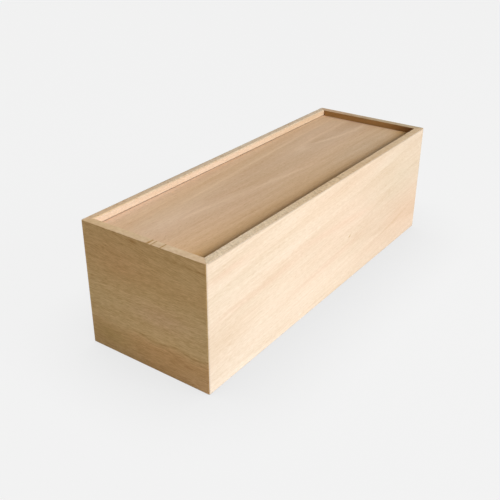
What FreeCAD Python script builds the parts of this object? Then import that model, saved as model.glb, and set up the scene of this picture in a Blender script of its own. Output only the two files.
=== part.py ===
import FreeCAD, Part
import math
import os

import Sketcher

# Sliding lid box in solid beech, in millimetres.
#
# Four grooved boards are mitred at the corners and joined with hidden splines.  The bottom is
# tongued into a groove that runs round all four.  The lid runs in a second groove, just under
# the rim.  At the opening end the wall is low, and the rail that completes the rim above it is
# glued to the lid, so that lid and rail slide out together.
#
# Frame: X across the box, Y along it, Z up.  The origin is under the middle of the box, on the
# plane that it stands on.  The closed end is at -Y and the lid slides out towards +Y.
#
# Every board is drawn in a frame of its own: X along the board, Y from its outer face to its
# inner face, Z up.

SIZES = [
    ("box_length", 355.0, "outside, along Y"),
    ("box_width", 120.0, "outside, along X"),
    ("box_height", 110.0, "outside, along Z"),
    ("wall_thickness", 7.5, "all four walls and the pull rail"),
    ("corner_round", 1.5, "upright outer corners"),
    ("rim_round", 0.5, "eased edges of the rim, the rail and the low wall"),
    ("foot_round", 1.3, "outer edge that the box stands on"),
    ("rim_above_groove", 5.0, "wood between the rim and the lid groove"),
    ("lid_groove_depth", 4.0, "into the wall"),
    ("lid_thickness", 5.0, "flat panel"),
    ("lid_gap_above", 0.5, "from the lid to the top of its groove"),
    ("lid_gap_below", 0.2, "from the lid to the floor of its groove"),
    ("lid_side_gap", 0.5, "from the lid's long edges to the groove's floor"),
    ("lid_end_gap", 0.5, "from the lid's leading edge to the groove's floor"),
    ("lid_lead_in", 0.8, "chamfer on the lid's leading edge"),
    ("rail_lip_height", 4.0, "rail below the lid"),
    ("rail_mitre_gap", 0.2, "square across the open mitres of the rail"),
    ("rail_seat_gap", 0.25, "between the rail and the low wall"),
    ("bottom_thickness", 6.0, "panel in the middle"),
    ("bottom_tongue_thickness", 3.0, "upper half of the panel's edge"),
    ("bottom_groove_depth", 4.0, "into the wall"),
    ("bottom_side_gap", 0.4, "from the tongue to the groove's floor"),
    ("bottom_field_gap", 0.3, "from the lower half of the panel to the walls"),
    ("spline_thickness", 2.0, "along the mitre"),
    ("spline_width", 5.0, "square across the mitre, half in each board"),
    ("spline_setback", 3.6, "along the mitre, from the inner corner to the spline's middle"),
    ("spline_end_margin", 8.0, "between a spline's end and the bottom or the low wall's top"),
]

# Levels, as expressions over the sheet.
GROOVE_HEIGHT = "(Sizes.lid_thickness + Sizes.lid_gap_above + Sizes.lid_gap_below)"
GROOVE_FLOOR = f"(Sizes.box_height - Sizes.rim_above_groove - {GROOVE_HEIGHT})"
LID_UNDERSIDE = f"({GROOVE_FLOOR} + Sizes.lid_gap_below)"
RAIL_UNDERSIDE = f"({LID_UNDERSIDE} - Sizes.rail_lip_height)"
LOW_WALL_TOP = f"({RAIL_UNDERSIDE} - Sizes.rail_seat_gap)"
TONGUE_UNDERSIDE = "(Sizes.bottom_thickness - Sizes.bottom_tongue_thickness)"
SPLINE_FOOT = "(Sizes.bottom_thickness + Sizes.spline_end_margin)"
SPLINE_TOP = f"({LOW_WALL_TOP} - Sizes.spline_end_margin)"
SPLINE_LENGTH = f"({SPLINE_TOP} - {SPLINE_FOOT})"

# Plan sizes.
INNER_WIDTH = "(Sizes.box_width - 2 * Sizes.wall_thickness)"
INNER_LENGTH = "(Sizes.box_length - 2 * Sizes.wall_thickness)"
TONGUE_REACH = "(Sizes.bottom_groove_depth - Sizes.bottom_side_gap)"
LID_SIDE_REACH = "(Sizes.lid_groove_depth - Sizes.lid_side_gap)"
LID_END_REACH = "(Sizes.lid_groove_depth - Sizes.lid_end_gap)"
RAIL_LENGTH = "(Sizes.box_width - 2 * Sizes.rail_mitre_gap * sqrt(2))"

TOUCHING = 1e-6


# --- general helpers -----------------------------------------------------------------------

def size_sheet(doc):
    sheet = doc.addObject("Spreadsheet::Sheet", "Sizes")
    for row, (alias, millimetres, note) in enumerate(SIZES, start=1):
        sheet.set(f"A{row}", alias)
        sheet.set(f"B{row}", str(millimetres))
        sheet.setAlias(f"B{row}", alias)
        sheet.set(f"C{row}", note)
    doc.recompute()
    return sheet


def worth(doc, expression):
    """The present value of an expression over the sheet."""
    return float(doc.getObject("Sizes").evalExpression(expression))


def new_body(doc, label):
    body = doc.addObject("PartDesign::Body", label)
    body.Label = label
    return body


def place(body, x="0", y="0", turn=0.0):
    """Stand a body at x, y and turn it by so many degrees about Z."""
    body.Placement = FreeCAD.Placement(FreeCAD.Vector(), FreeCAD.Rotation(FreeCAD.Vector(0, 0, 1), turn))
    body.setExpression("Placement.Base.x", x)
    body.setExpression("Placement.Base.y", y)


def sketch_on(body, role, name, height="0"):
    """A sketch on one of the body's own origin planes, raised by height."""
    plane = next(feature for feature in body.Origin.OriginFeatures if feature.Role == role)
    sketch = body.newObject("Sketcher::SketchObject", name)
    sketch.AttachmentSupport = [(plane, "")]
    sketch.MapMode = "FlatFace"
    sketch.setExpression("AttachmentOffset.Base.z", height)
    return sketch


def measure(sketch, kind, name, expression, *where):
    """A named dimension of a sketch that follows an expression over the sheet."""
    start = worth(sketch.Document, expression)
    index = sketch.addConstraint(Sketcher.Constraint(kind, *where, start))
    sketch.renameConstraint(index, name)
    sketch.setExpression(f"Constraints.{name}", expression)


def closed_rectangle(sketch, left, low, width, height):
    """Four joined lines, level and upright, at given starting places."""
    corners = [(left, low), (left + width, low), (left + width, low + height), (left, low + height)]
    for start, end in zip(corners, corners[1:] + corners[:1]):
        sketch.addGeometry(Part.LineSegment(FreeCAD.Vector(*start, 0), FreeCAD.Vector(*end, 0)))
    for side in range(4):
        sketch.addConstraint(Sketcher.Constraint("Coincident", side, 2, (side + 1) % 4, 1))
    for side, direction in enumerate(("Horizontal", "Vertical", "Horizontal", "Vertical")):
        sketch.addConstraint(Sketcher.Constraint(direction, side))


def offset_rectangle(sketch, left, low, width, height):
    """A rectangle whose lower left corner stands off from the sketch's origin."""
    doc = sketch.Document
    closed_rectangle(sketch, worth(doc, left), worth(doc, low), worth(doc, width), worth(doc, height))
    measure(sketch, "DistanceX", "left", left, -1, 1, 0, 1)
    measure(sketch, "DistanceY", "low", low, -1, 1, 0, 1)
    measure(sketch, "DistanceX", "width", width, 0, 1, 0, 2)
    measure(sketch, "DistanceY", "height", height, 1, 1, 1, 2)


def centred_rectangle(sketch, width, height):
    """A rectangle centred on the sketch's origin."""
    wide = worth(sketch.Document, width)
    high = worth(sketch.Document, height)
    closed_rectangle(sketch, -wide / 2, -high / 2, wide, high)
    sketch.addConstraint(Sketcher.Constraint("Symmetric", 0, 1, 1, 2, -1, 1))
    measure(sketch, "DistanceX", "width", width, 0, 1, 0, 2)
    measure(sketch, "DistanceY", "height", height, 1, 1, 1, 2)


def pad(body, sketch, name, length):
    feature = body.newObject("PartDesign::Pad", name)
    feature.Profile = sketch
    feature.setExpression("Length", length)
    body.Document.recompute()
    return feature


def pocket(body, sketch, name, depth=None):
    """Cut downwards from the sketch by depth, or through the whole body both ways."""
    before = body.Shape.Volume
    feature = body.newObject("PartDesign::Pocket", name)
    feature.Profile = sketch
    if depth is None:
        feature.Type = "ThroughAll"
        feature.Midplane = True
    else:
        feature.setExpression("Length", depth)
    body.Document.recompute()
    if body.Shape.Volume > before - TOUCHING:
        raise RuntimeError(f"{name} cuts nothing from {body.Label}")
    return feature


def round_edges(body, name, edges, radius):
    base = body.Tip
    feature = body.newObject("PartDesign::Fillet", name)
    feature.Base = (base, edges)
    feature.setExpression("Radius", radius)
    body.Document.recompute()
    return feature


def level_edges(body, height, outer=True, inner=True):
    """Names of a board's lengthwise edges and corner arcs at one height.

    The edges of the mitre faces run aslant, and are left sharp to close against each other.
    """
    level = worth(body.Document, height)
    middle = worth(body.Document, "Sizes.wall_thickness") / 2
    names = []
    for number, edge in enumerate(body.Tip.Shape.Edges, start=1):
        box = edge.BoundBox
        is_level = abs(box.ZMin - level) < TOUCHING and abs(box.ZMax - level) < TOUCHING
        is_mitre = isinstance(edge.Curve, Part.Line) and box.YLength > TOUCHING
        is_wanted = outer if box.YMax < middle else inner
        if is_level and is_wanted and not is_mitre:
            names.append(f"Edge{number}")
    return names


# --- boards --------------------------------------------------------------------------------

def mitred_outline(sketch, length):
    """A board in plan: a long outer face, a short inner face and a mitre at each end.

    Each outer corner has half of the box's corner round.  The round's centre lies on the mitre,
    so that the two boards of a corner share one smooth arc.
    """
    doc = sketch.Document
    half = worth(doc, length) / 2
    thick = worth(doc, "Sizes.wall_thickness")
    radius = worth(doc, "Sizes.corner_round")
    cut = radius * (1 - math.sqrt(0.5))

    def line(start, end):
        return Part.LineSegment(FreeCAD.Vector(*start, 0), FreeCAD.Vector(*end, 0))

    def arc(middle, first, last):
        circle = Part.Circle(FreeCAD.Vector(*middle, 0), FreeCAD.Vector(0, 0, 1), radius)
        return Part.ArcOfCircle(circle, math.radians(first), math.radians(last))

    outer, right_arc, right_mitre, inner, left_mitre, left_arc = range(6)
    sketch.addGeometry(line((radius - half, 0), (half - radius, 0)))
    sketch.addGeometry(arc((half - radius, radius), -90, -45))
    sketch.addGeometry(line((half - cut, cut), (half - thick, thick)))
    sketch.addGeometry(line((half - thick, thick), (thick - half, thick)))
    sketch.addGeometry(line((thick - half, thick), (cut - half, cut)))
    sketch.addGeometry(arc((radius - half, radius), 225, 270))

    x_axis, y_axis = -1, -2
    for rule in (
        ("Tangent", outer, 2, right_arc, 1),
        ("Coincident", right_arc, 2, right_mitre, 1),
        ("Coincident", right_mitre, 2, inner, 1),
        ("Coincident", inner, 2, left_mitre, 1),
        ("Coincident", left_mitre, 2, left_arc, 1),
        ("Tangent", left_arc, 2, outer, 1),
        ("Horizontal", outer),
        ("PointOnObject", outer, 1, x_axis),
        ("PointOnObject", right_arc, 3, right_mitre),
        ("PointOnObject", left_arc, 3, left_mitre),
        ("Equal", right_arc, left_arc),
        ("Symmetric", inner, 1, inner, 2, y_axis),
        ("Angle", right_mitre, math.radians(135)),
        ("Angle", left_mitre, math.radians(-135)),
    ):
        sketch.addConstraint(Sketcher.Constraint(*rule))
    measure(sketch, "Radius", "round", "Sizes.corner_round", right_arc)
    measure(sketch, "DistanceX", "centres", f"{length} - 2 * Sizes.corner_round", left_arc, 3, right_arc, 3)
    measure(sketch, "DistanceY", "thickness", "Sizes.wall_thickness", outer, 1, inner, 2)


def mitred_board(doc, label, length, foot, top):
    """A plain board with mitred ends, from one level to another."""
    body = new_body(doc, label)
    plan = sketch_on(body, "XY_Plane", f"{label}_plan", foot)
    mitred_outline(plan, length)
    pad(body, plan, f"{label}_blank", f"{top} - {foot}")
    return body


def cut_groove(body, name, floor, height, depth):
    """A groove along the board's inner face, run out through both mitres."""
    section = sketch_on(body, "YZ_Plane", f"{body.Label}_{name}_section")
    offset_rectangle(section, f"Sizes.wall_thickness - {depth}", floor, depth, height)
    pocket(body, section, f"{body.Label}_{name}")


def cut_lid_groove(body):
    cut_groove(body, "lid_groove", GROOVE_FLOOR, GROOVE_HEIGHT, "Sizes.lid_groove_depth")


def cut_bottom_groove(body):
    cut_groove(
        body, "bottom_groove", TONGUE_UNDERSIDE, "Sizes.bottom_tongue_thickness", "Sizes.bottom_groove_depth"
    )


def cut_spline_slots(body, length):
    """A stopped slot in each mitre face, square to it, for half of a spline.

    The slot's sketch starts at the board's outer corner, with X along the mitre towards the
    inside of the box and Y square into the board.
    """
    label = body.Label
    sketch = sketch_on(body, "XY_Plane", f"{label}_slot_plan", SPLINE_TOP)
    turned = FreeCAD.Rotation(FreeCAD.Vector(0, 0, 1), 135)
    sketch.AttachmentOffset = FreeCAD.Placement(FreeCAD.Vector(), turned)
    sketch.setExpression("AttachmentOffset.Base.x", f"{length} / 2")
    offset_rectangle(
        sketch,
        "Sizes.wall_thickness * sqrt(2) - Sizes.spline_setback - Sizes.spline_thickness / 2",
        "0",
        "Sizes.spline_thickness",
        "Sizes.spline_width / 2",
    )
    slot = pocket(body, sketch, f"{label}_slot", SPLINE_LENGTH)
    before = body.Shape.Volume
    pair = body.newObject("PartDesign::Mirrored", f"{label}_slots")
    pair.Originals = [slot]
    across = next(feature for feature in body.Origin.OriginFeatures if feature.Role == "YZ_Plane")
    pair.MirrorPlane = (across, [""])
    body.Tip = pair
    body.Document.recompute()
    if body.Shape.Volume > before - TOUCHING:
        raise RuntimeError(f"{label} has only one spline slot")


def fixed_wall(doc, label, length, top, x, y, turn):
    """A wall of the box without its lid groove, with the rounds that every wall has."""
    body = mitred_board(doc, label, length, "0", top)
    cut_bottom_groove(body)
    cut_spline_slots(body, length)
    round_edges(body, f"{label}_top_edges", level_edges(body, top), "Sizes.rim_round")
    round_edges(body, f"{label}_foot_edge", level_edges(body, "0", inner=False), "Sizes.foot_round")
    place(body, x, y, turn)
    return body


def full_wall(doc, label, length, x, y, turn):
    """A wall that reaches the rim, with the groove that the lid runs in."""
    body = fixed_wall(doc, label, length, "Sizes.box_height", x, y, turn)
    cut_lid_groove(body)
    return body


def closed_end_wall(doc):
    return full_wall(doc, "closed_end_wall", "Sizes.box_width", "0", "-Sizes.box_length / 2", 0)


def right_side_wall(doc):
    return full_wall(doc, "right_side_wall", "Sizes.box_length", "Sizes.box_width / 2", "0", 90)


def left_side_wall(doc):
    return full_wall(doc, "left_side_wall", "Sizes.box_length", "-Sizes.box_width / 2", "0", -90)


def opening_end_wall(doc):
    """The low wall that the pull rail closes down onto."""
    label = "opening_end_wall"
    return fixed_wall(doc, label, "Sizes.box_width", LOW_WALL_TOP, "0", "Sizes.box_length / 2", 180)


def corner_splines(doc):
    """Loose tongues hidden in the mitres, one in each corner."""
    corners = [
        ("closed_left", -1, -1),
        ("closed_right", 1, -1),
        ("opening_left", -1, 1),
        ("opening_right", 1, 1),
    ]
    splines = []
    for name, across, along in corners:
        label = f"corner_spline_{name}"
        body = new_body(doc, label)
        plan = sketch_on(body, "XY_Plane", f"{label}_plan", SPLINE_FOOT)
        centred_rectangle(plan, "Sizes.spline_thickness", "Sizes.spline_width")
        pad(body, plan, f"{label}_strip", SPLINE_LENGTH)
        place(
            body,
            f"{across} * ({INNER_WIDTH} / 2 + Sizes.spline_setback / sqrt(2))",
            f"{along} * ({INNER_LENGTH} / 2 + Sizes.spline_setback / sqrt(2))",
            math.degrees(math.atan2(along, across)),
        )
        splines.append(body)
    return splines


# --- panels and rail -----------------------------------------------------------------------

def bottom_panel(doc):
    """A panel flush with the walls underneath, with a tongue round its upper half."""
    body = new_body(doc, "bottom_panel")
    field = sketch_on(body, "XY_Plane", "bottom_field_plan")
    centred_rectangle(
        field,
        f"{INNER_WIDTH} - 2 * Sizes.bottom_field_gap",
        f"{INNER_LENGTH} - 2 * Sizes.bottom_field_gap",
    )
    pad(body, field, "bottom_field", "Sizes.bottom_thickness")
    tongue = sketch_on(body, "XY_Plane", "bottom_tongue_plan", TONGUE_UNDERSIDE)
    centred_rectangle(
        tongue,
        f"{INNER_WIDTH} + 2 * {TONGUE_REACH}",
        f"{INNER_LENGTH} + 2 * {TONGUE_REACH}",
    )
    pad(body, tongue, "bottom_tongue", "Sizes.bottom_tongue_thickness")
    place(body)
    return body


def lid_panel(doc):
    """A flat panel, from the closed end's groove to the floor of the rail's groove."""
    body = new_body(doc, "lid_panel")
    plan = sketch_on(body, "XY_Plane", "lid_plan", LID_UNDERSIDE)
    centred_rectangle(
        plan,
        f"{INNER_WIDTH} + 2 * {LID_SIDE_REACH}",
        f"{INNER_LENGTH} + {LID_END_REACH} + Sizes.lid_groove_depth",
    )
    blank = pad(body, plan, "lid_blank", "Sizes.lid_thickness")
    leading = blank.Shape.BoundBox.YMin
    edges = [
        f"Edge{number}"
        for number, edge in enumerate(blank.Shape.Edges, start=1)
        if edge.BoundBox.YMax < leading + TOUCHING and edge.BoundBox.ZLength < TOUCHING
    ]
    lead_in = body.newObject("PartDesign::Chamfer", "lid_lead_in")
    lead_in.Base = (blank, edges)
    lead_in.setExpression("Size", "Sizes.lid_lead_in")
    body.Tip = lead_in
    place(body, y="Sizes.lid_end_gap / 2")
    return body


def lid_pull_rail(doc):
    """The piece of rim that slides with the lid, mitred into the ends of the side walls."""
    label = "lid_pull_rail"
    body = mitred_board(doc, label, RAIL_LENGTH, RAIL_UNDERSIDE, "Sizes.box_height")
    round_edges(body, "rail_top_edges", level_edges(body, "Sizes.box_height"), "Sizes.rim_round")
    round_edges(body, "rail_foot_edges", level_edges(body, RAIL_UNDERSIDE), "Sizes.rim_round")
    cut_groove(body, "lid_seat", LID_UNDERSIDE, "Sizes.lid_thickness", "Sizes.lid_groove_depth")
    place(body, y="Sizes.box_length / 2", turn=180)
    return body


# --- whole box -----------------------------------------------------------------------------

def check(doc, bodies):
    """Stop if any feature failed or any piece isn't one sound solid."""
    for item in doc.Objects:
        if "Invalid" in item.State or "Error" in item.State:
            raise RuntimeError(f"{item.Label}: {item.State}")
    for body in bodies:
        shape = body.Shape
        if shape.isNull() or not shape.isValid() or len(shape.Solids) != 1:
            raise RuntimeError(f"{body.Label} isn't one sound solid")


def export(bodies):
    os.makedirs("parts", exist_ok=True)
    for body in bodies:
        body.Shape.exportStep(f"parts/{body.Label}.step")


def main():
    doc = FreeCAD.newDocument("sliding_lid_box")
    size_sheet(doc)
    bodies = [
        closed_end_wall(doc),
        opening_end_wall(doc),
        left_side_wall(doc),
        right_side_wall(doc),
        bottom_panel(doc),
        lid_panel(doc),
        lid_pull_rail(doc),
    ]
    bodies += corner_splines(doc)
    doc.recompute()
    check(doc, bodies)
    export(bodies)
    return doc


main()
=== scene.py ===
"""Sliding lid wooden box: beech boards, pale floor, soft side light and the camera."""
import math

import bpy
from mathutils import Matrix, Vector

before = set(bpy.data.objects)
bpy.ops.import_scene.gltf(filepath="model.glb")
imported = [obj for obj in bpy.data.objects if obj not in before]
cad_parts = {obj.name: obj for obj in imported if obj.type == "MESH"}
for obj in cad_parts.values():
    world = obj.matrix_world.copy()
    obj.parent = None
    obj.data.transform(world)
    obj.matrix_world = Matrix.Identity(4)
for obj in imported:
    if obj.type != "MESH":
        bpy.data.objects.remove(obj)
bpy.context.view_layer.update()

scene = bpy.context.scene
scene.view_settings.view_transform = "Standard"

# outer size of the box and the places of its outer faces, in millimetres
LENGTH, WIDTH, HEIGHT = 355.0, 120.0, 110.0
LEFT, RIGHT = -WIDTH / 2, WIDTH / 2
NEAR, FAR = -LENGTH / 2, LENGTH / 2
MM_PER_M = 1000.0

# tints that multiply the colour of beech
PLAIN = (1.0, 1.0, 1.0, 1.0)
LIGHT_WOOD = (1.09, 1.13, 1.19, 1.0)
DARK_WOOD = (0.83, 0.745, 0.62, 1.0)
# the grey of wear, also used as painted shade on lit edges and in the lid's gap
WEAR_AND_SHADE_GREY = (0.72, 0.71, 0.70, 1.0)
GREYED = (0.68, 0.65, 0.61, 1.0)
PINKER = (1.015, 0.985, 0.975, 1.0)
YELLOWER = (0.99, 1.01, 1.01, 1.0)

# sockets of a Mix node that mixes colours
MIX_AMOUNT, MIX_FROM, MIX_TO, MIX_RESULT = 0, 6, 7, 2

# linear brightness of the pale backdrop, and of the light from all round
BACKDROP = 0.888
AMBIENT = 0.18

# the floor: half its side in metres, and the grey that lights the box from below
FLOOR_HALF = 4.0
FLOOR_PAPER = 0.8
# the floor as the camera sees it: its glow beside the backdrop's, the reach in metres and the tint of
# the painted shade round the box, and the grey that takes the lamps' shadows
FLOOR_GLOW = 0.985
SHADE_REACH = 0.08
SHADE_TINT = 0.81
SHADOW_GREY = 0.02

# the camera, fitted to the box's edges: lens and sensor in millimetres, place in metres, turn in degrees
LENS = 52.95
SENSOR = 36.0
CAMERA_PLACE = (0.3319, -0.5107, 0.3467)
CAMERA_TURN = (62.293, -0.212, 35.432)


def tone(red, green, blue):
    """A colour written as display values of 0 to 255, as the linear colour a shader takes."""
    channels = []
    for value in (red, green, blue):
        value = value / 255.0
        if value <= 0.04045:
            channels.append(value / 12.92)
        else:
            channels.append(((value + 0.055) / 1.055) ** 2.4)
    return (*channels, 1.0)


def grey(value):
    """A linear grey, as the colour a shader takes."""
    return (value, value, value, 1.0)


class Signal:
    """A value that changes over the surface. Arithmetic on it adds Math nodes to its graph."""

    def __init__(self, graph, socket):
        self.graph = graph
        self.socket = socket

    def __add__(self, other):
        return self.graph.math("ADD", self, other)

    __radd__ = __add__

    def __sub__(self, other):
        return self.graph.math("SUBTRACT", self, other)

    def __rsub__(self, other):
        return self.graph.math("SUBTRACT", other, self)

    def __mul__(self, other):
        return self.graph.math("MULTIPLY", self, other)

    __rmul__ = __mul__

    def __truediv__(self, other):
        return self.graph.math("DIVIDE", self, other)

    def __neg__(self):
        return self.graph.math("MULTIPLY", self, -1.0)


class Graph:
    """The node tree of one material, with the surface point in millimetres as x, y and z."""

    def __init__(self, name):
        self.material = bpy.data.materials.new(name)
        self.material.use_nodes = True
        self.tree = self.material.node_tree
        self.shader = self.tree.nodes["Principled BSDF"]
        place = self.node("TexCoord").outputs["Object"]
        scaled = self.node("VectorMath", operation="SCALE")
        self.feed(scaled.inputs[0], Signal(self, place))
        scaled.inputs["Scale"].default_value = MM_PER_M
        parts = self.node("SeparateXYZ")
        self.feed(parts.inputs[0], Signal(self, scaled.outputs[0]))
        self.x, self.y, self.z = (Signal(self, parts.outputs[axis]) for axis in "XYZ")

    def node(self, kind, **settings):
        """A new shader node with these settings."""
        made = self.tree.nodes.new("ShaderNode" + kind)
        for name, value in settings.items():
            setattr(made, name, value)
        return made

    def feed(self, socket, value):
        """Gives an input socket a signal or a fixed value."""
        if isinstance(value, Signal):
            self.tree.links.new(value.socket, socket)
        else:
            socket.default_value = value

    def math(self, operation, *values):
        """The result of a Math node."""
        made = self.node("Math", operation=operation)
        for socket, value in zip(made.inputs, values):
            self.feed(socket, value)
        return Signal(self, made.outputs[0])

    def between(self, value, low, high):
        """0 at low and 1 at high, smooth between and level beyond; low may be the higher of the two."""
        made = self.node("MapRange", interpolation_type="SMOOTHSTEP")
        self.feed(made.inputs["Value"], value)
        if low < high:
            made.inputs["From Min"].default_value = low
            made.inputs["From Max"].default_value = high
        else:
            made.inputs["From Min"].default_value = high
            made.inputs["From Max"].default_value = low
            made.inputs["To Min"].default_value = 1.0
            made.inputs["To Max"].default_value = 0.0
        return Signal(self, made.outputs[0])

    def hump(self, *terms):
        """1 at the centre of each (value, centre, reach), falling to nothing a few reaches away."""
        total = 0.0
        for value, centre, reach in terms:
            away = (value - centre) / reach
            total = total + away * away
        return self.math("EXPONENT", -total)

    def point(self, x, y, z):
        """Three signals as one vector."""
        made = self.node("CombineXYZ")
        for socket, value in zip(made.inputs, (x, y, z)):
            self.feed(socket, value)
        return Signal(self, made.outputs[0])

    def noise(self, point, detail=2.0):
        """Smooth noise from about -0.5 to 0.5."""
        made = self.node("TexNoise")
        self.feed(made.inputs["Vector"], point)
        made.inputs["Scale"].default_value = 1.0
        made.inputs["Detail"].default_value = detail
        made.inputs["Roughness"].default_value = 0.5
        return Signal(self, made.outputs[0]) - 0.5

    def cells(self, point):
        """Distance to the nearest of many scattered cell centres, and that cell's own number."""
        made = self.node("TexVoronoi")
        self.feed(made.inputs["Vector"], point)
        made.inputs["Scale"].default_value = 1.0
        lot = self.node("SeparateColor")
        self.feed(lot.inputs[0], Signal(self, made.outputs["Color"]))
        return Signal(self, made.outputs["Distance"]), Signal(self, lot.outputs[0])

    def hidden(self, reach):
        """0 in the open, and more where faces closer than a reach in metres shut out the light."""
        made = self.node("AmbientOcclusion")
        made.inputs["Distance"].default_value = reach
        return 1.0 - Signal(self, made.outputs["AO"])

    def eased(self, fall, depth):
        """The normal of a face that drops by a depth in metres where fall goes from 0 to 1."""
        made = self.node("Bump", invert=True)
        made.inputs["Strength"].default_value = 1.0
        made.inputs["Distance"].default_value = depth
        self.feed(made.inputs["Height"], fall)
        return Signal(self, made.outputs[0])

    def blend(self, colour, other, amount, clamped=True):
        """colour, turning into other as amount goes from 0 to 1, and beyond if it isn't clamped."""
        made = self.node("Mix", data_type="RGBA", clamp_factor=clamped)
        self.feed(made.inputs[MIX_AMOUNT], amount)
        self.feed(made.inputs[MIX_FROM], colour)
        self.feed(made.inputs[MIX_TO], other)
        return Signal(self, made.outputs[MIX_RESULT])

    def tinted(self, colour, first, second, amount):
        """colour times a tint that goes from first to second as amount goes from 0 to 1, and beyond."""
        tint = self.blend(first, second, amount, clamped=False)
        made = self.node("VectorMath", operation="MULTIPLY")
        self.feed(made.inputs[0], colour)
        self.feed(made.inputs[1], tint)
        return Signal(self, made.outputs[0])


class Board(Graph):
    """Beech cut from a log. along, across and depth are the grain's own directions on the board.

    pith is the log's centre as (across, depth), taper is how fast its rings widen along the board,
    ring is the width of one year's growth, and lean is how fast the grain climbs along the board.
    """

    def __init__(self, name, axes, pith, taper, ring, seed, lean=0.0):
        super().__init__(name)
        self.along, self.across, self.depth = (getattr(self, axis) for axis in axes)
        self.seed = seed
        slow = self.stretched(140.0, 34.0, 30.0, 1.0)
        quick = self.stretched(26.0, 7.0, 8.0)
        self.wander = slow * 7.0 + quick * 1.4
        self.waved = self.across + self.wander - self.along * lean
        sideways = self.waved - pith[0]
        down = self.depth - pith[1]
        radius = self.math("SQRT", sideways * sideways + down * down)
        self.rings = (radius - self.along * taper) / ring + seed

    def stretched(self, along, across, depth, detail=2.0):
        """Noise whose grains have these three sizes in millimetres, straight along the board."""
        return self.noise(
            self.point(self.along / along + self.seed, self.across / across, self.depth / depth),
            detail,
        )

    def grain(self, along, across, depth):
        """The same, but following the waves of the grain."""
        return self.noise(
            self.point(self.along / along, self.waved / across, self.depth / depth + self.seed)
        )

    def late_wood(self):
        """The darker end of each ring, which stops sharply where the next year's growth begins."""
        part = self.math("FRACT", self.rings)
        return self.between(part, 0.35, 0.93) * self.between(part, 1.0, 0.94)

    def flecks(self, length, width, ribbon):
        """Rays: short dark dashes on the face, which cross the board's edges as ribbons."""
        away, lot = self.cells(
            self.point(self.along / length, self.waved / width, self.depth / ribbon + self.seed)
        )
        return self.between(away, 0.36, 0.14) * self.between(lot, -0.3, 0.9)

    def edge(self):
        """1 on the eased outer edges of the box, broken up by noise.

        It has fallen to 0 about 1.5 mm away from them, and is 0 on the flat top of the rim.
        """
        side = RIGHT - self.math("ABSOLUTE", self.x)
        end = FAR - self.math("ABSOLUTE", self.y)
        level = self.math("MINIMUM", self.z, HEIGHT - self.z)
        least = self.math("MINIMUM", self.math("MINIMUM", side, end), level)
        most = self.math("MAXIMUM", self.math("MAXIMUM", side, end), level)
        second = side + end + level - least - most
        edge_wear_and_painted_shade = self.between(second + self.stretched(9.0, 9.0, 9.0) * 0.8, 1.5, 0.3)
        return edge_wear_and_painted_shade * self.between(self.z, HEIGHT - 0.02, HEIGHT - 0.08)

    def mitre(self):
        """0.5 on the glue lines of the box's corners, 0 beside them."""
        from_side = RIGHT - self.math("ABSOLUTE", self.x)
        from_end = FAR - self.math("ABSOLUTE", self.y)
        return self.hump((from_side - from_end, 0.0, 0.3)) * 0.5

    def trace(self, points, reach, fade=25.0):
        """A soft curve through three (along, across) points, which fades out at both ends."""
        (start, low), (middle, half), (stop, high) = points
        climb = (half - low) / (middle - start)
        bend = ((high - half) / (stop - middle) - climb) / (stop - start)
        gone = self.along - start
        curve = gone * (gone * bend + (climb - bend * (middle - start))) + low
        inside = self.between(self.along, start - fade, start + fade)
        inside = inside * self.between(self.along, stop + fade, stop - fade)
        return self.hump((self.across + self.wander * 0.2 - curve, 0.0, reach)) * inside

    def spot(self, place, reach):
        """1 at an (along, across) place, fading over its reach along and across."""
        return self.hump((self.along, place[0], reach[0]), (self.across, place[1], reach[1]))

    def patched(self, colour, *patches):
        """colour, turning softly into another around each (other, amount, place, reach)."""
        for other, amount, place, reach in patches:
            colour = self.blend(colour, other, self.spot(place, reach) * amount)
        return colour

    def shaded(self, colour, *shades):
        """colour, times the (red, green, blue) tint of each (tint, place, reach) around its place."""
        for tint, place, reach in shades:
            colour = self.tinted(colour, PLAIN, (*tint, 1.0), self.spot(place, reach))
        return colour

    def finish(self, colour, marks=0.0, fine=1.0, broad=1.0, rays=1.0, wear_and_shade_share=1.0, normal=None):
        """Connects the colour with its darker and lighter marks, and the shared roughness and bump.

        fine, broad and rays say how strongly the short grain, the wide streaks and the ray flecks
        show, and handling how much the box's outer edges have greyed, partly from wear and partly as
        painted shade that holds down the highlight on the lit, eased edges.
        """
        fibre = self.grain(10.0, 0.42, 0.6)
        ripple = self.grain(5.0, 0.62, 3.0)
        streak = self.grain(60.0, 2.0, 3.0)
        mottle = self.stretched(70.0, 17.0, 17.0, 3.0)
        flecks = self.flecks(length=3.8, width=0.95, ribbon=4.6)
        late = self.late_wood()
        edge_wear_and_painted_shade = self.edge() * wear_and_shade_share
        dark = (
            marks
            + 0.20
            + fibre * (0.45 * fine)
            + ripple * (1.2 * fine)
            + streak * (0.85 * broad)
            + mottle * (0.45 * broad)
            + flecks * rays * 0.50
            + late * (0.18 * broad)
        )
        colour = self.tinted(colour, LIGHT_WOOD, DARK_WOOD, dark)
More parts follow.
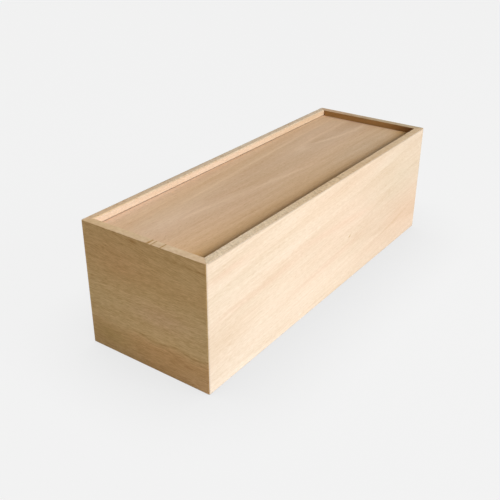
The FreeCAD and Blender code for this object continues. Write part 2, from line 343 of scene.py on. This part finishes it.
        # the eased outer edges greyed, partly by wear, partly as painted shade against their highlight
        colour = self.tinted(colour, PLAIN, WEAR_AND_SHADE_GREY, edge_wear_and_painted_shade)
        hue = self.stretched(95.0, 15.0, 15.0) * (1.6 * broad) + 0.5
        colour = self.tinted(colour, PINKER, YELLOWER, hue)
        self.feed(self.shader.inputs["Base Color"], colour)
        roughness = 0.56 + streak * 0.12 + flecks * 0.08 - edge_wear_and_painted_shade * 0.06
        self.feed(self.shader.inputs["Roughness"], roughness)
        self.shader.inputs["Specular IOR Level"].default_value = 0.25
        self.shader.inputs["Sheen Weight"].default_value = 0.04
        self.shader.inputs["Sheen Roughness"].default_value = 0.5
        bump = self.node("Bump")
        bump.inputs["Strength"].default_value = 0.35
        bump.inputs["Distance"].default_value = 0.00035
        relief = fibre * 0.9 + ripple * 0.5 - flecks * 0.7 - late * 0.3
        self.feed(bump.inputs["Height"], relief)
        if normal:
            self.feed(bump.inputs["Normal"], normal)
        self.feed(self.shader.inputs["Normal"], Signal(self, bump.outputs[0]))
        return self.material


# The boards. Places, reaches and curves on them are in millimetres.


def top_edge(board):
    """1 on the narrow top faces of the walls, 0 on their sides."""
    return board.between(board.z, HEIGHT - 0.12, HEIGHT - 0.03)


def groove_edge(board):
    """1 on the edge of the lid's groove, where a grey line is painted: partly dirt from use, partly
    painted shadow of the gap between lid and wall.
    """
    inside = board.between(board.math("ABSOLUTE", board.x), RIGHT - 4.0, RIGHT - 6.0)
    return board.hump((board.z, HEIGHT - 5.2, 0.55)) * inside


def near_wall():
    """Darker towards the rim, and below a wavy line at the foot, which branches, partly the board's
    figure and partly painted contact shade; a knot at the rim.
    """
    wood = Board("beech_near_wall", "xzy", pith=(12.0, -120.0), taper=0.02, ring=7.0, seed=3.7)
    climb = wood.hump((wood.z, 55.0, 20.0)) * 0.10 - wood.between(wood.z, 78.0, 98.0) * 0.10 - 0.02
    wood.waved = wood.waved - wood.x * climb
    colour = wood.blend(tone(223, 185, 126), tone(213, 171, 111), wood.between(wood.z, 52.0, 82.0))
    colour = wood.patched(
        colour,
        (tone(217, 169, 110), 0.8, (-22.0, 86.0), (30.0, 17.0)),
        (tone(222, 179, 132), 0.6, (16.0, 50.0), (28.0, 10.0)),
    )
    # a darker band at the foot, below a wavy line: partly the board's figure, partly painted contact
    # shade by the floor
    wave = wood.math("COSINE", wood.x * 0.16 - 4.54) * 1.4 + 27.9
    foot = wood.between(wood.z - wave, 3.0, -6.0) * (wood.between(wood.x, -35.0, 10.0) * 0.5 + 0.4)
    colour = wood.blend(colour, tone(216, 168, 109), foot)
    colour = wood.patched(colour, (tone(198, 159, 92), 0.7, (-40.0, 15.0), (22.0, 9.0)))
    shade = wood.between(wood.x, 5.0, 55.0) * wood.between(wood.z, 95.0, 60.0)
    colour = wood.tinted(colour, PLAIN, grey(0.94), shade)
    colour = wood.shaded(
        colour,
        ((1.02, 1.045, 1.09), (46.0, 96.0), (22.0, 18.0)),
        ((1.05, 1.08, 1.11), (-52.0, 78.0), (17.0, 7.0)),
        ((0.98, 1.0, 1.08), (48.0, 5.0), (20.0, 8.0)),
    )
    inside = wood.between(wood.y, NEAR + 5.5, NEAR + 7.0)
    colour = wood.blend(colour, tone(219, 186, 146), inside)
    rim = top_edge(wood)
    edge = wood.blend(tone(234, 198, 149), tone(233, 202, 162), wood.between(wood.x, -60.0, 20.0))
    colour = wood.blend(colour, edge, rim)

    boundary = wood.hump((wood.z - wave, 0.0, 1.1)) * wood.between(wood.x, -22.0, -2.0)
    branch = wood.trace([(12.0, 26.3), (30.0, 21.7), (46.0, 15.0)], reach=1.0, fade=6.0)
    ring = wood.trace([(20.0, 103.6), (40.0, 102.6), (62.0, 101.4)], reach=1.1, fade=8.0)
    knot = wood.spot((-7.0, 107.0), (4.5, 1.4))
    ribbons = (
        wood.hump((wood.x, 6.7, 0.9))
        + wood.hump((wood.x, 10.1, 0.5))
        + wood.hump((wood.x, 18.7, 0.6))
    )
    stain = wood.hump((wood.x, 5.0, 2.5), (wood.y, NEAR, 2.0)) * rim
    marks = (
        boundary * 0.65
        + branch * 0.35
        + ring * 0.45
        + knot * 0.9
        + ribbons * rim * 1.5
        + stain * 0.5
        + wood.mitre() * rim
    )
    # more greying at the lit right corner, partly as painted shade against its highlight
    turn = wood.between(wood.x, RIGHT - 2.4, RIGHT - 0.6)
    return wood.finish(
        colour,
        marks,
        fine=2.05 - rim,
        broad=0.6,
        rays=0.9 - rim * 0.7,
        wear_and_shade_share=turn * 0.8 + 0.2,
    )


def right_wall():
    """Cooler beech, partly painted pale as the brightly lit side, with pinkish streaks, and a pale top
    edge with grey specks and dashes.
    """
    wood = Board(
        "beech_right_wall", "yzx", pith=(40.0, -60.0), taper=0.03, ring=8.0, seed=8.1, lean=0.05
    )
    # the face's tone, paler and cooler than the top edge and darker towards the far end: partly the
    # board's own, partly painted light, the bleaching of the strong side light and its fall-off to the
    # far end
    far = wood.between(wood.y, -60.0, 170.0)
    colour = wood.blend(tone(207, 188, 165), tone(198, 178, 155), far)
    colour = wood.patched(
        colour,
        (tone(212, 196, 177), 0.9, (-125.0, 0.0), (105.0, 27.0)),
        (tone(201, 172, 145), 0.7, (165.0, 26.0), (60.0, 24.0)),
        (tone(196, 180, 155), 0.6, (130.0, 78.0), (60.0, 22.0)),
    )
    colour = wood.shaded(
        colour,
        ((0.97, 0.94, 0.91), (25.0, 100.0), (75.0, 17.0)),
        ((0.985, 0.96, 0.95), (5.0, 62.0), (80.0, 32.0)),
        ((0.985, 0.965, 0.955), (80.0, 12.0), (50.0, 14.0)),
    )
    pink = (
        wood.trace([(-165.0, 59.0), (-110.0, 61.0), (-60.0, 63.5)], reach=3.2, fade=30.0)
        + wood.trace([(-178.0, 92.0), (-155.0, 94.5), (-130.0, 96.0)], reach=3.0)
        + wood.trace([(-60.0, 71.0), (10.0, 66.0), (60.0, 62.0)], reach=3.5, fade=40.0)
        + wood.trace([(-60.0, 33.0), (0.0, 37.0), (60.0, 42.0)], reach=4.0, fade=40.0)
    )
    colour = wood.blend(colour, tone(203, 169, 144), pink * 0.30)
    inside = wood.between(wood.x, RIGHT - 5.5, RIGHT - 7.0)
    colour = wood.blend(colour, tone(220, 190, 152), inside)
    rim = top_edge(wood)
    edge = wood.blend(tone(236, 212, 178), tone(217, 185, 144), wood.between(wood.y, -160.0, 0.0))
    colour = wood.blend(colour, edge, rim)
    specks = wood.stretched(1.5, 0.9, 1.5) * rim * wood.between(wood.y, 20.0, -40.0)
    dashes = wood.between(wood.stretched(1.4, 4.0, 6.0, 1.0), 0.0, 0.18) - 0.4
    dashes = dashes * rim * (wood.hump((wood.y, 5.0, 38.0)) * 0.8 + 0.25)
    colour = wood.tinted(colour, PLAIN, GREYED, dashes + specks * 2.4)

    ring = wood.trace([(60.0, 17.9), (115.0, 24.6), (160.0, 31.9)], reach=1.3)
    pale = wood.trace([(-170.0, 76.0), (-60.0, 77.0), (60.0, 84.0)], reach=1.6, fade=40.0)
    knot = wood.hump((wood.y + wood.z, 76.8, 2.6), (wood.z - wood.y * 0.35, 36.9, 0.9))
    marks = ring * 0.3 - pale * 0.12 + knot * 1.4 + wood.mitre() * rim
    turn = wood.between(wood.y, NEAR + 2.6, NEAR + 0.8)
    return wood.finish(
        colour,
        marks,
        fine=0.9,
        broad=0.8,
        rays=0.5 - rim * 0.2,
        wear_and_shade_share=1.0 - turn * 0.9,
    )


def left_wall():
    """A bright inner edge that looks eased by wear, and grey lines on its outer edge and at the lid's
    groove, the latter partly dirt and partly painted shadow of the gap.
    """
    wood = Board("beech_left_wall", "yzx", pith=(70.0, 90.0), taper=0.03, ring=7.0, seed=5.3)
    far = wood.between(wood.y, -60.0, 170.0)
    colour = wood.blend(tone(207, 183, 159), tone(200, 175, 146), far)
    outside = wood.between(wood.x, LEFT + 3.0, LEFT + 0.5)
    colour = wood.blend(colour, tone(226, 191, 144), outside)
    brown = wood.spot((60.0, 70.0), (90.0, 20.0)) * outside
    colour = wood.tinted(colour, PLAIN, (0.92, 0.89, 0.84, 1.0), brown)
    pale = wood.spot((-90.0, 30.0), (80.0, 16.0)) * outside
    colour = wood.tinted(colour, PLAIN, (1.03, 1.04, 1.07, 1.0), pale)
    low = wood.between(wood.z, HEIGHT - 9.0, HEIGHT - 13.0) * (1.0 - outside)
    colour = wood.blend(colour, tone(216, 187, 150), low)
    rim = top_edge(wood)
    edge = wood.blend(tone(235, 200, 158), tone(224, 199, 167), wood.between(wood.y, -175.0, -60.0))
    colour = wood.blend(colour, edge, rim)
    outer = wood.between(wood.x, LEFT + 2.0, LEFT + 0.6) * rim
    colour = wood.tinted(colour, PLAIN, (0.84, 0.86, 0.88, 1.0), outer)
    # the grey line at the groove: partly dirt, partly painted shadow of the gap under the lid's edge
    colour = wood.tinted(colour, PLAIN, WEAR_AND_SHADE_GREY, groove_edge(wood) * 0.8)
    strip = (1.0 - outside) * (1.0 - low)
    inner = wood.between(wood.x, LEFT + 5.7, LEFT + 7.2)
    return wood.finish(
        colour,
        wood.mitre() * rim,
        fine=1.1 - strip * 0.4,
        broad=1.0 - strip * 0.3,
        rays=rim * 1.3 + 0.6 - strip * 0.3,
        normal=wood.eased(inner, depth=0.0012),
    )


def far_wall():
    """The low wall and the rail above it, whose inner face is painted dark brown for the shade over the
    lid and grows darker to the right for the right wall's painted shadow.
    """
    wood = Board("beech_far_wall", "xzy", pith=(-20.0, 260.0), taper=0.02, ring=6.0, seed=7.4)
    # painted shade: dark brown on the rail's inner face over the lid, darker to the right where the
    # right wall's shadow falls
    right = wood.between(wood.x, 15.0, 56.0)
    colour = wood.blend(tone(183, 140, 84), tone(130, 84, 34), right)
    low = wood.between(wood.z, HEIGHT - 13.0, HEIGHT - 15.0)
    colour = wood.blend(colour, tone(219, 186, 146), low)
    outside = wood.between(wood.y, FAR - 3.0, FAR - 0.5)
    colour = wood.blend(colour, tone(222, 187, 142), outside)
    rim = top_edge(wood)
    edge = wood.blend(tone(211, 178, 141), tone(190, 165, 127), wood.between(wood.x, -55.0, 10.0))
    colour = wood.blend(colour, edge, rim)
    return wood.finish(colour, wood.mitre() * rim)


def lid():
    """Pale streaks, a grey line along the left edge that is partly dirt and partly painted shadow of the
    gap, and a painted warm shade where the right wall shades it.
    """
    wood = Board("beech_lid", "yxz", pith=(-14.0, 45.0), taper=0.022, ring=4.7, seed=1.9)
    colour = wood.blend(tone(233, 194, 149), tone(227, 192, 155), wood.hump((wood.x, -8.0, 24.0)))
    left = wood.blend(tone(229, 195, 163), tone(222, 188, 151), wood.between(wood.y, -120.0, 120.0))
    colour = wood.blend(colour, left, wood.hump((wood.x, -53.0, 9.0)))
    colour = wood.blend(colour, tone(219, 180, 133), wood.hump((wood.x, 40.0, 16.0)))
    # painted shade: a warm, darker tone near the right wall where its shadow falls on the lid, led by
    # ambient occlusion so that it fades when the lid slides out
    warm_painted_shade = wood.between(wood.x, 30.0, 40.0) * wood.between(wood.hidden(reach=0.03), 0.01, 0.12)
    colour = wood.blend(colour, tone(221, 174, 109), warm_painted_shade)
    colour = wood.patched(colour, (tone(218, 187, 150), 0.8, (110.0, 28.0), (80.0, 14.0)))
    # lighter at the near end and darker towards the far end: partly the board's tone, partly painted
    # fall-off of the light
    far = wood.between(wood.y, -175.0, 30.0)
    colour = wood.tinted(colour, (1.04, 1.03, 1.03, 1.0), (0.915, 0.91, 0.91, 1.0), far)
    end = wood.between(wood.y, 90.0, 150.0) * wood.between(wood.x, -50.0, -15.0)
    colour = wood.tinted(colour, PLAIN, (0.98, 0.965, 0.95, 1.0), end)
    # painted shade: darker and warmer along the right wall
    colour = wood.shaded(colour, ((0.94, 0.92, 0.86), (50.0, 45.0), (110.0, 9.0)))
    # a grey line along the left edge: partly dirt in the groove, partly painted shadow of the gap under
    # the left wall
    colour = wood.tinted(colour, PLAIN, WEAR_AND_SHADE_GREY, wood.between(wood.x, -51.9, -52.7) * 1.2)
    colour = wood.shaded(
        colour,
        ((0.93, 0.925, 0.96), (-75.0, 21.0), (75.0, 17.0)),
        ((1.03, 1.05, 1.10), (-150.0, -38.0), (60.0, 22.0)),
        ((1.0, 0.985, 0.93), (-8.0, -6.0), (60.0, 10.0)),
        ((0.985, 1.0, 1.07), (112.0, -34.0), (52.0, 8.0)),
    )
    pale = (
        wood.trace([(-129.5, -8.2), (-35.1, 4.0), (50.5, 16.8)], reach=2.0) * 0.30
        + wood.trace([(-93.5, -26.3), (-1.5, -32.0), (185.0, -40.0)], reach=1.6) * 0.33
        + wood.trace([(84.0, -15.0), (113.7, -6.4), (166.9, -2.0)], reach=2.0, fade=14.0) * 0.52
        + wood.trace([(70.0, -21.2), (110.0, -22.2), (185.0, -22.9)], reach=1.5, fade=18.0) * 0.36
        + wood.spot((-130.0, -13.0), (34.0, 9.0)) * 0.28
        + wood.spot((67.0, -15.6), (12.0, 5.0)) * 0.42
        + wood.spot((148.0, 32.0), (16.0, 9.0)) * 0.20
    )
    dark = (
        wood.spot((94.0, -16.0), (18.0, 4.0)) * 0.25
        + wood.spot((140.0, -13.0), (40.0, 6.0)) * 0.15
    )
    return wood.finish(colour, dark - pale, fine=0.82, broad=0.74, rays=0.8)


def bottom():
    wood = Board("beech_bottom", "yxz", pith=(10.0, -50.0), taper=0.025, ring=5.5, seed=6.6)
    colour = wood.blend(tone(214, 182, 144), tone(206, 172, 132), wood.hump((wood.x, 20.0, 26.0)))
    return wood.finish(colour)


def splines():
    wood = Board("beech_splines", "zxy", pith=(0.0, 0.0), taper=0.0, ring=3.0, seed=2.2)
    colour = wood.blend(tone(196, 156, 112), tone(186, 148, 108), wood.between(wood.z, 20.0, 90.0))
    return wood.finish(colour)


def dress(material, *names):
    """Gives a material to the CAD nodes of these names."""
    for name in names:
        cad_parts[name].material_slots[0].material = material


def sees_backdrop(tree):
    """1 for the rays that meet the pale backdrop: the camera's, and those off gloss or through glass."""
    ray = tree.nodes.new("ShaderNodeLightPath")
    seen = ray.outputs["Is Camera Ray"]
    for kind in ("Is Glossy Ray", "Is Transmission Ray"):
        either = tree.nodes.new("ShaderNodeMath")
        either.operation = "MAXIMUM"
        tree.links.new(seen, either.inputs[0])
        tree.links.new(ray.outputs[kind], either.inputs[1])
        seen = either.outputs[0]
    return seen


def studio_world():
    """Soft even light from all round, with a pale backdrop in its place for the rays that meet one."""
    world = bpy.data.worlds.new("studio")
    scene.world = world
    world.use_nodes = True
    tree = world.node_tree
    tree.nodes.clear()
    ambient = tree.nodes.new("ShaderNodeBackground")
    ambient.inputs["Color"].default_value = grey(AMBIENT)
    backdrop = tree.nodes.new("ShaderNodeBackground")
    backdrop.inputs["Color"].default_value = grey(BACKDROP)
    mixed = tree.nodes.new("ShaderNodeMixShader")
    out = tree.nodes.new("ShaderNodeOutputWorld")
    tree.links.new(sees_backdrop(tree), mixed.inputs[0])
    tree.links.new(ambient.outputs[0], mixed.inputs[1])
    tree.links.new(backdrop.outputs[0], mixed.inputs[2])
    tree.links.new(mixed.outputs[0], out.inputs[0])


def studio_floor():
    """A plain pale floor that melts into the backdrop, with a painted shade round the box in its glow
    and a faint shadow of the box from the lamps.
    """
    mesh = bpy.data.meshes.new("floor")
    corners = [
        (-FLOOR_HALF, -FLOOR_HALF, 0),
        (FLOOR_HALF, -FLOOR_HALF, 0),
        (FLOOR_HALF, FLOOR_HALF, 0),
        (-FLOOR_HALF, FLOOR_HALF, 0),
    ]
    mesh.from_pydata(corners, [], [(0, 1, 2, 3)])
    floor = bpy.data.objects.new("floor", mesh)
    scene.collection.objects.link(floor)

    material = bpy.data.materials.new("pale_floor")
    material.use_nodes = True
    mesh.materials.append(material)
    tree = material.node_tree
    tree.nodes.clear()
    paper = tree.nodes.new("ShaderNodeBsdfDiffuse")
    paper.inputs["Color"].default_value = grey(FLOOR_PAPER)
    near = tree.nodes.new("ShaderNodeAmbientOcclusion")
    near.inputs["Distance"].default_value = SHADE_REACH
    fade = tree.nodes.new("ShaderNodeMix")
    fade.data_type = "RGBA"
    fade.inputs[MIX_FROM].default_value = grey(SHADE_TINT)
    fade.inputs[MIX_TO].default_value = PLAIN
    glow = tree.nodes.new("ShaderNodeEmission")
    glow.inputs["Strength"].default_value = BACKDROP * FLOOR_GLOW
    shadowed = tree.nodes.new("ShaderNodeBsdfDiffuse")
    shadowed.inputs["Color"].default_value = grey(SHADOW_GREY)
    lit = tree.nodes.new("ShaderNodeAddShader")
    mixed = tree.nodes.new("ShaderNodeMixShader")
    out = tree.nodes.new("ShaderNodeOutputMaterial")
    # painted shade: the glow darkens near the box, led by ambient occlusion
    tree.links.new(near.outputs["AO"], fade.inputs[MIX_AMOUNT])
    tree.links.new(fade.outputs[MIX_RESULT], glow.inputs["Color"])
    tree.links.new(glow.outputs[0], lit.inputs[0])
    tree.links.new(shadowed.outputs[0], lit.inputs[1])
    tree.links.new(sees_backdrop(tree), mixed.inputs[0])
    tree.links.new(paper.outputs[0], mixed.inputs[1])
    tree.links.new(lit.outputs[0], mixed.inputs[2])
    tree.links.new(mixed.outputs[0], out.inputs[0])


def soft_lamp(name, size, spread, power, place, target):
    """A square lamp aimed at its target. Metres, except for spread in degrees and power in watts."""
    lamp = bpy.data.lights.new(name, "AREA")
    lamp.shape = "SQUARE"
    lamp.size = size
    lamp.spread = math.radians(spread)
    lamp.energy = power
    holder = bpy.data.objects.new(name, lamp)
    holder.location = place
    aim = Vector(target) - holder.location
    holder.rotation_euler = aim.to_track_quat("-Z", "Y").to_euler()
    scene.collection.objects.link(holder)


def lamps():
    """A softbox on the right makes the right wall bright; weak ones lift the near and left walls."""
    soft_lamp(
        "softbox",
        size=0.7,
        spread=120.0,
        power=19.2,
        place=(1.7, 0.30, 0.88),
        target=(0.0, -0.17, 0.05),
    )
    soft_lamp(
        "fill",
        size=1.0,
        spread=180.0,
        power=5.0,
        place=(-0.35, -2.2, 0.30),
        target=(0.0, -0.18, 0.06),
    )
    soft_lamp(
        "back_fill",
        size=0.5,
        spread=120.0,
        power=3.0,
        place=(-2.1, 0.16, 0.06),
        target=(0.0, 0.0, 0.055),
    )


def camera():
    lens = bpy.data.cameras.new("camera")
    lens.lens = LENS
    lens.sensor_width = SENSOR
    holder = bpy.data.objects.new("camera", lens)
    holder.location = CAMERA_PLACE
    holder.rotation_euler = [math.radians(turn) for turn in CAMERA_TURN]
    scene.collection.objects.link(holder)
    scene.camera = holder


dress(near_wall(), "closed_end_wall")
dress(right_wall(), "right_side_wall")
dress(left_wall(), "left_side_wall")
dress(far_wall(), "opening_end_wall", "lid_pull_rail")
dress(lid(), "lid_panel")
dress(bottom(), "bottom_panel")
dress(
    splines(),
    "corner_spline_closed_left",
    "corner_spline_closed_right",
    "corner_spline_opening_left",
    "corner_spline_opening_right",
)
studio_world()
studio_floor()
lamps()
camera()
